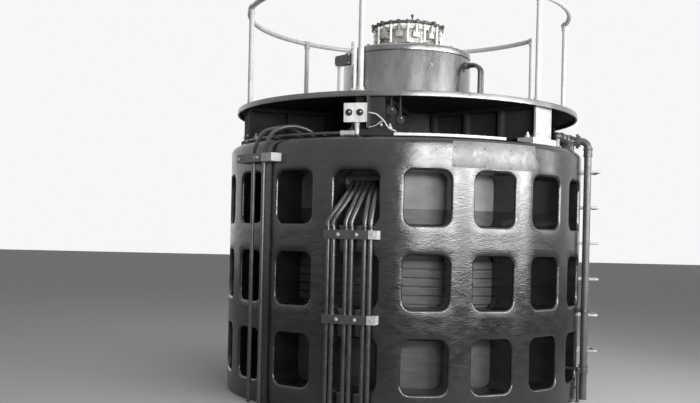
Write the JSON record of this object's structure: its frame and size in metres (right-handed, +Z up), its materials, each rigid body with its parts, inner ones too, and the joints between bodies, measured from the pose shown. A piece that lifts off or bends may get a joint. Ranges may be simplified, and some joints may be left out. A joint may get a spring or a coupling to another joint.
{
  "type": "vertical hydroelectric generator",
  "caption": "Vertical-shaft water turbine generator: windowed cast stator frame, spider and round deck with handrail, exciter with open brush gear, leads, step irons and rotor.",
  "frame": {"origin": "centre of the sole ring's underside, on the floor, on the shaft axis", "axes": "+Z up along the shaft, -Y to the front where the pictured side faces, +X to the right of that view"},
  "size_m": [3.177, 3.0695, 3.218],
  "materials": {
    "frame_enamel": "glossy dark enamel over rough cast iron",
    "core_iron": "varnished laminations and dull iron",
    "shield_paint": "pale paint on sheet iron",
    "winding_tape": "varnished cotton tape on coils",
    "pole_iron": "varnished field coils and pole iron",
    "pale_metal": "pale machined or painted metal",
    "deck_iron": "worn grey paint on plate",
    "exciter_paint": "satin mid grey paint",
    "brass_posts": "lacquered brass",
    "brush_iron": "dark iron with copper pigtails",
    "rail_paint": "near white paint on pipe",
    "clamp_iron": "black paint on iron",
    "cable_cover": "varnished braid over cable",
    "box_paint": "light grey paint",
    "pipe_iron": "grey paint on iron pipe",
    "shaft_steel": "turned forged steel",
    "commutator_copper": "turned copper bars"
  },
  "bodies": {
    "stator": {"sole_ring": "frame_enamel", "frame_segment_1": "frame_enamel", "frame_segment_2": "frame_enamel", "frame_segment_3": "frame_enamel", "frame_segment_4": "frame_enamel", "frame_segment_5": "frame_enamel", "frame_segment_6": "frame_enamel", "frame_segment_7": "frame_enamel", "frame_segment_8": "frame_enamel", "frame_segment_9": "frame_enamel", "stator_core": "core_iron", "core_end_rings": "core_iron", "winding_shields": "shield_paint", "end_windings": "winding_tape", "spider_feet": "pale_metal", "bearing_spider": "frame_enamel", "deck_plate": "deck_iron", "deck_rim": "deck_iron", "exciter_yoke": "exciter_paint", "exciter_cover": "exciter_paint", "brush_posts": "brass_posts", "brush_ring": "brush_iron", "brush_holders": "brush_iron", "handrail": "rail_paint", "stanchions": "rail_paint", "lead_clamps": "clamp_iron", "main_leads": "cable_cover", "side_leads": "cable_cover", "junction_box": "box_paint", "conduit": "clamp_iron", "edge_strip": "pale_metal", "valve_block": "clamp_iron", "oil_pipe": "pipe_iron", "step_irons": "clamp_iron", "exciter_leads": "cable_cover", "oil_gauge": "pale_metal"},
    "rotor": {"shaft": "shaft_steel", "rotor_spider": "core_iron", "rotor_poles": "pole_iron", "commutator": "commutator_copper"}
  },
  "joints": [
    {"name": "rotor_spin", "type": "hinge", "parent": "stator", "child": "rotor", "pos_m": [0, 0, 1], "axis": [0, 0, 1], "continuous": true}
  ]
}
